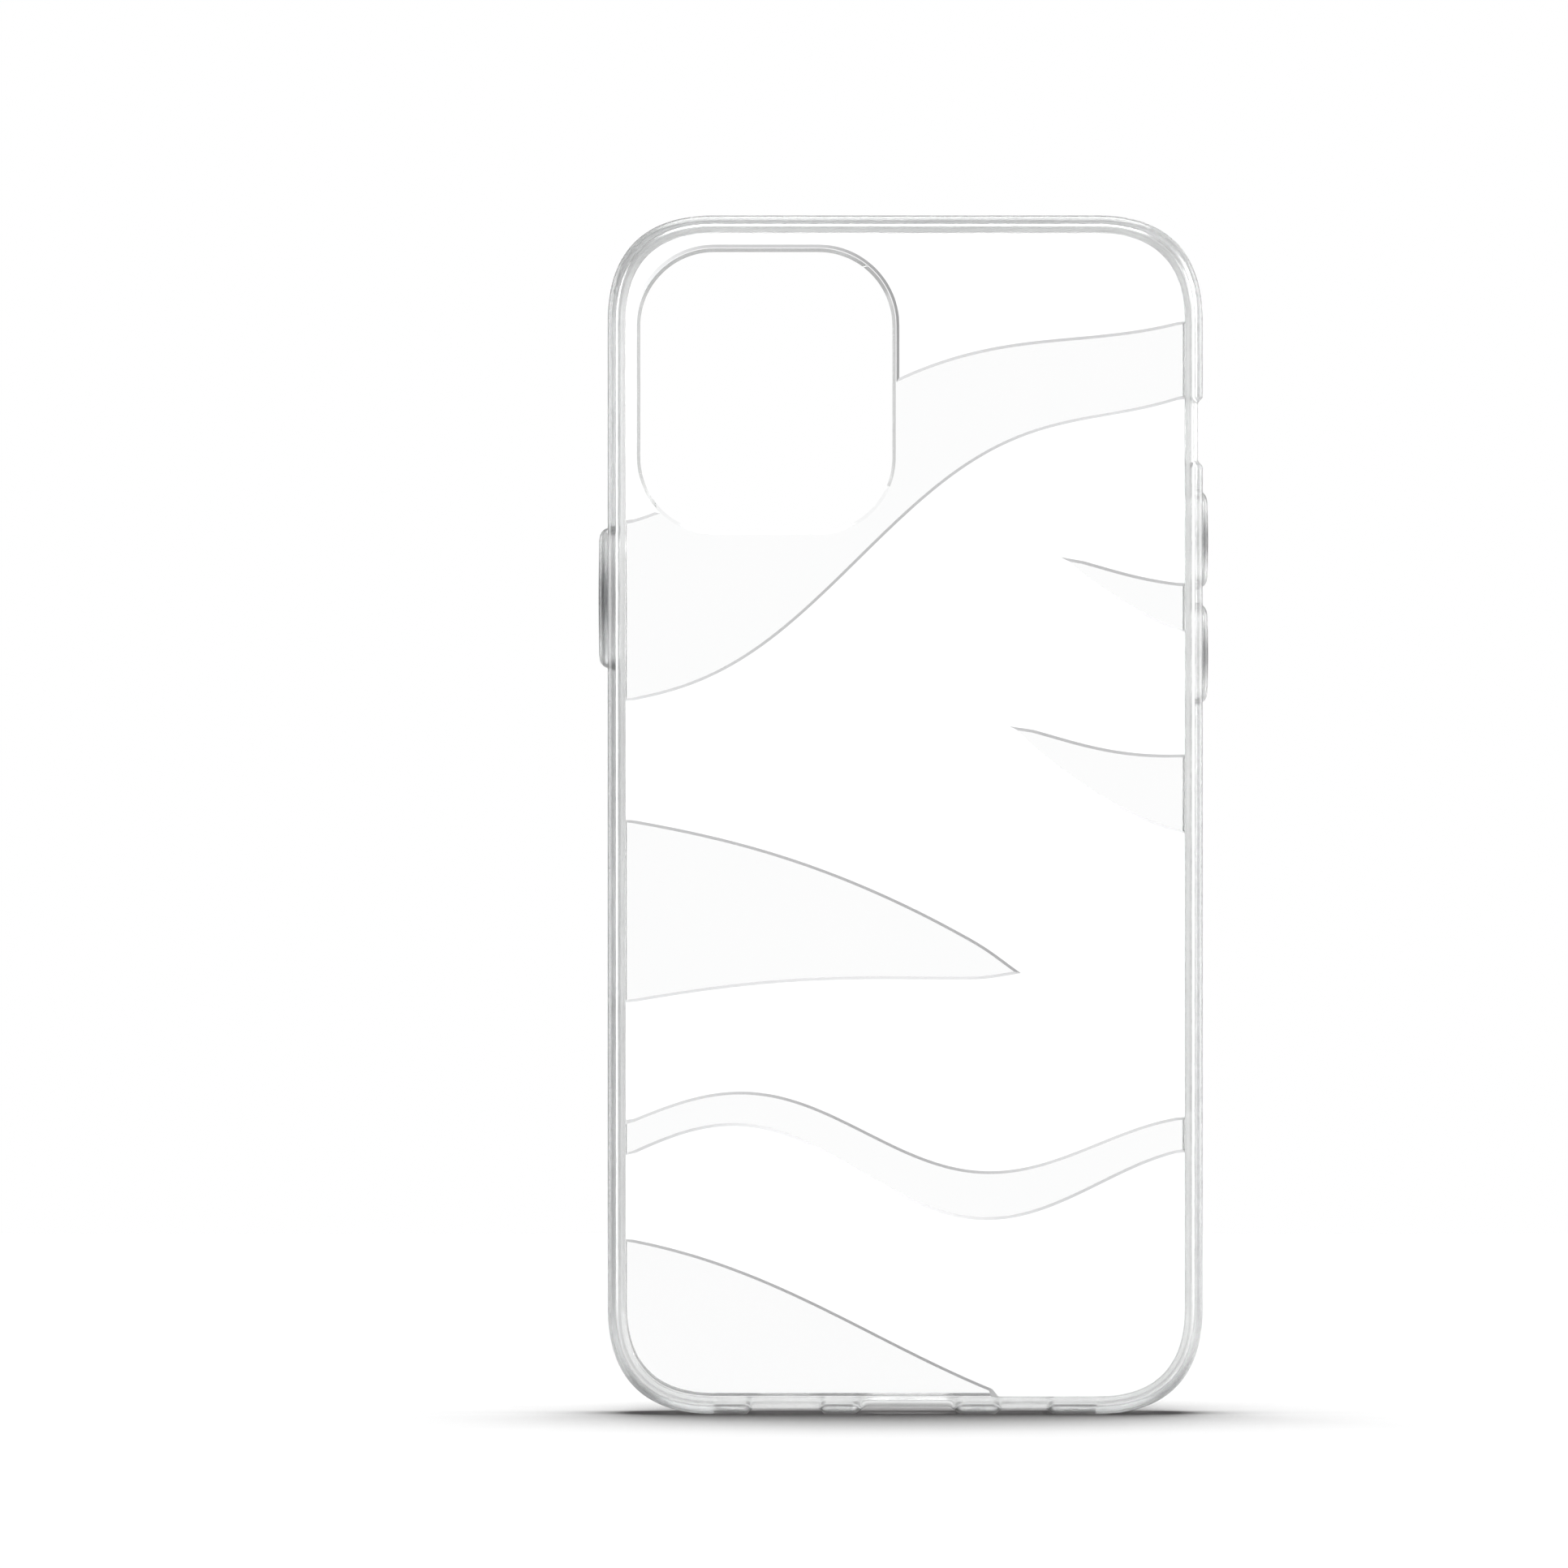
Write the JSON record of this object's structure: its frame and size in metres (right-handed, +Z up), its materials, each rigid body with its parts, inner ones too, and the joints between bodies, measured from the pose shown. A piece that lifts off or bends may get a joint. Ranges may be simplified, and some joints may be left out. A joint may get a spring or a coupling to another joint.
{
  "type": "phone case",
  "caption": "Slim clear case that snaps over a phone: hard clear back plate with a white wave print, soft clear bumper frame, cutouts for camera, ports and mute switch, sprung button pads.",
  "frame": {"origin": "middle of the back plate's inner face, which the phone's back lies on", "axes": "+Z up the case towards the camera cutout end, +Y out of the open front, +X towards the volume button side"},
  "size_m": [0.076, 0.0099, 0.1492],
  "materials": {
    "clear_hard_plastic": "gloss",
    "clear_soft_plastic": "gloss",
    "white_ink": "satin"
  },
  "bodies": {
    "case": {"back_plate": "clear_hard_plastic", "bumper_frame": "clear_soft_plastic", "print_upper": "white_ink", "print_middle": "white_ink", "print_lower": "white_ink"},
    "volume_up": {"volume_up_pad": "clear_soft_plastic"},
    "volume_down": {"volume_down_pad": "clear_soft_plastic"},
    "power": {"power_pad": "clear_soft_plastic"}
  },
  "joints": [
    {"name": "volume_up_press", "type": "slide", "parent": "case", "child": "volume_up", "axis": [-1, 0, 0], "range_m": [0, 0.00035], "stiffness_N_per_m": 1500},
    {"name": "volume_down_press", "type": "slide", "parent": "case", "child": "volume_down", "axis": [-1, 0, 0], "range_m": [0, 0.00035], "stiffness_N_per_m": 1500},
    {"name": "power_press", "type": "slide", "parent": "case", "child": "power", "axis": [1, 0, 0], "range_m": [0, 0.00035], "stiffness_N_per_m": 1500}
  ]
}
